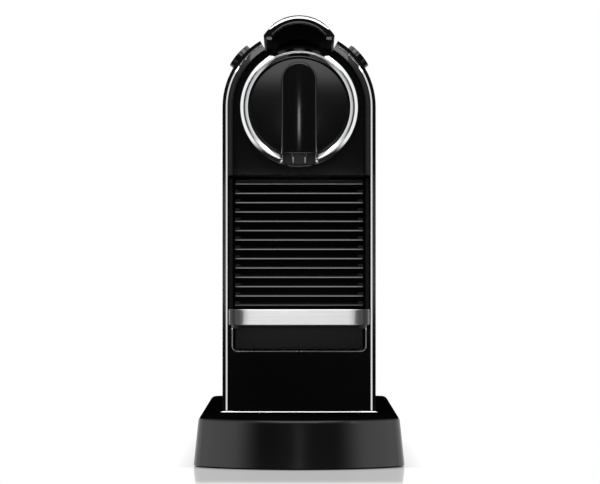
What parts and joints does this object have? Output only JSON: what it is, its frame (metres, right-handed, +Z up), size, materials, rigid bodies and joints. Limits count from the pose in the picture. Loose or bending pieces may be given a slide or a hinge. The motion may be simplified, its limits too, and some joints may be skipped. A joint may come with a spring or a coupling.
{
  "type": "pod coffee machine",
  "caption": "Slim upright pod coffee machine with an arched black body, bright trim, round front disc with a spout, lifting lever, folding cup support and rear water tank.",
  "frame": {"origin": "centre of the plinth's footprint, on the surface the rubber feet stand on", "axes": "+Z up, -Y towards the spout and the user, +Y towards the water tank, +X to the user's right"},
  "size_m": [0.13, 0.372, 0.2775],
  "materials": {
    "plinth_black": "satin moulded plastic",
    "shell_black": "semi-gloss black",
    "panel_black": "semi-gloss black",
    "disc_gloss": "high gloss black",
    "spout_gloss": "high gloss black",
    "lower_gloss": "high gloss black",
    "lever_black": "semi-gloss black",
    "button_black": "semi-gloss black",
    "lid_black": "semi-gloss black",
    "trim_bright": "satin bright trim",
    "chrome": "polished plating",
    "bar_metal": "brushed along its length",
    "steel": "plain",
    "brass": "turned",
    "thermoblock_metal": "die cast",
    "container_black": "satin",
    "module_black": "satin",
    "tray_black": "satin",
    "grid_black": "satin",
    "support_black": "satin",
    "nozzle_black": "satin",
    "inner_grey": "plain moulded",
    "chamber_grey": "plain moulded",
    "switch_black": "plain moulded",
    "gear_cream": "plain moulded",
    "pump_white": "plain moulded",
    "valve_white": "plain moulded",
    "coil_dark": "varnished",
    "board_green": "solder mask",
    "hose_clear": "soft tube",
    "seal_red": "soft seal",
    "rubber_black": "matt",
    "tank_smoke": "smoky clear plastic"
  },
  "bodies": {
    "machine": {"base_plinth": "plinth_black", "base_plate": "inner_grey", "rubber_feet": "rubber_black", "base_screws": "steel", "cord_gland": "rubber_black", "left_side_shell": "shell_black", "right_side_shell": "shell_black", "left_trim_strip": "trim_bright", "right_trim_strip": "trim_bright", "front_panel": "panel_black", "chrome_ring": "chrome", "front_disc": "disc_gloss", "spout_cover": "spout_gloss", "outlet_nozzle": "nozzle_black", "top_cover": "shell_black", "back_panel": "inner_grey", "bulkhead": "inner_grey", "head_floor": "inner_grey", "brew_frame": "inner_grey", "extraction_plate": "steel", "lever_pivots": "steel", "idler_pins": "steel", "left_switch": "switch_black", "right_switch": "switch_black", "pump_body": "pump_white", "pump_coil": "coil_dark", "thermoblock": "thermoblock_metal", "control_board": "board_green", "flow_meter": "pump_white", "suction_hose": "hose_clear", "pressure_hose": "hose_clear", "tank_seat": "inner_grey", "tank_seat_seal": "seal_red", "inlet_sleeve": "brass"},
    "lever": {"lever_body": "lever_black", "lever_trim": "chrome", "left_sector_gear": "gear_cream", "right_sector_gear": "gear_cream"},
    "left_idler": {"left_idler_gear": "gear_cream"},
    "right_idler": {"right_idler_gear": "gear_cream"},
    "brew_unit": {"brew_chamber": "chamber_grey", "needle_plate": "steel", "chamber_seal": "seal_red", "left_rack": "gear_cream", "right_rack": "gear_cream"},
    "left_button": {"left_button": "button_black"},
    "right_button": {"right_button": "button_black"},
    "module": {"drip_tray": "tray_black", "module_frame": "module_black", "lower_front_panel": "lower_gloss", "drip_grid": "grid_black", "capsule_container": "container_black"},
    "cup_support": {"cup_support_tray": "support_black", "cup_support_grid": "grid_black", "cup_support_bar": "bar_metal"},
    "water_tank": {"water_tank": "tank_smoke", "tank_valve_body": "valve_white"},
    "tank_lid": {"tank_lid": "lid_black"},
    "tank_valve": {"tank_valve_plunger": "valve_white", "valve_spring": "steel"}
  },
  "joints": [
    {"name": "lever_hinge", "type": "hinge", "parent": "machine", "child": "lever", "pos_m": [0, -0.04, 0.25], "axis": [-1, 0, 0], "range_deg": [0, 90]},
    {"name": "left_idler_spin", "type": "hinge", "parent": "machine", "child": "left_idler", "pos_m": [0, -0.04, 0.22375], "axis": [1, 0, 0], "range_deg": [0, 260.01]},
    {"name": "right_idler_spin", "type": "hinge", "parent": "machine", "child": "right_idler", "pos_m": [0, -0.04, 0.22375], "axis": [1, 0, 0], "range_deg": [0, 260.01]},
    {"name": "brew_slide", "type": "slide", "parent": "machine", "child": "brew_unit", "axis": [0, 1, 0], "range_m": [0, 0.03063]},
    {"name": "left_button_press", "type": "slide", "parent": "machine", "child": "left_button", "axis": [0.7547, 0, -0.6561], "range_m": [0, 0.0015], "stiffness_N_per_m": 600, "springref_m": -0.001},
    {"name": "right_button_press", "type": "slide", "parent": "machine", "child": "right_button", "axis": [-0.7547, 0, -0.6561], "range_m": [0, 0.0015], "stiffness_N_per_m": 600, "springref_m": -0.001},
    {"name": "module_slide", "type": "slide", "parent": "machine", "child": "module", "axis": [0, -1, 0], "range_m": [0, 0.15]},
    {"name": "cup_support_fold", "type": "hinge", "parent": "module", "child": "cup_support", "pos_m": [0, -0.112, 0.092], "axis": [-1, 0, 0], "range_deg": [0, 90]},
    {"name": "tank_lift", "type": "slide", "parent": "machine", "child": "water_tank", "axis": [0, 0, 1], "range_m": [0, 0.08]},
    {"name": "tank_lid_hinge", "type": "hinge", "parent": "water_tank", "child": "tank_lid", "pos_m": [0, 0.1752, 0.2464], "axis": [-1, 0, 0], "range_deg": [0, 100]},
    {"name": "tank_valve_lift", "type": "slide", "parent": "water_tank", "child": "tank_valve", "axis": [0, 0, 1], "range_m": [0, 0.002], "stiffness_N_per_m": 300, "springref_m": -0.002, "deforming": ["valve_spring"]}
  ],
  "couplings": [
    {"joint": "left_idler_spin", "follows": "lever_hinge", "ratio": 2.8889},
    {"joint": "right_idler_spin", "follows": "lever_hinge", "ratio": 2.8889},
    {"joint": "brew_slide", "follows": "lever_hinge", "m_per_rad": 0.0195}
  ]
}
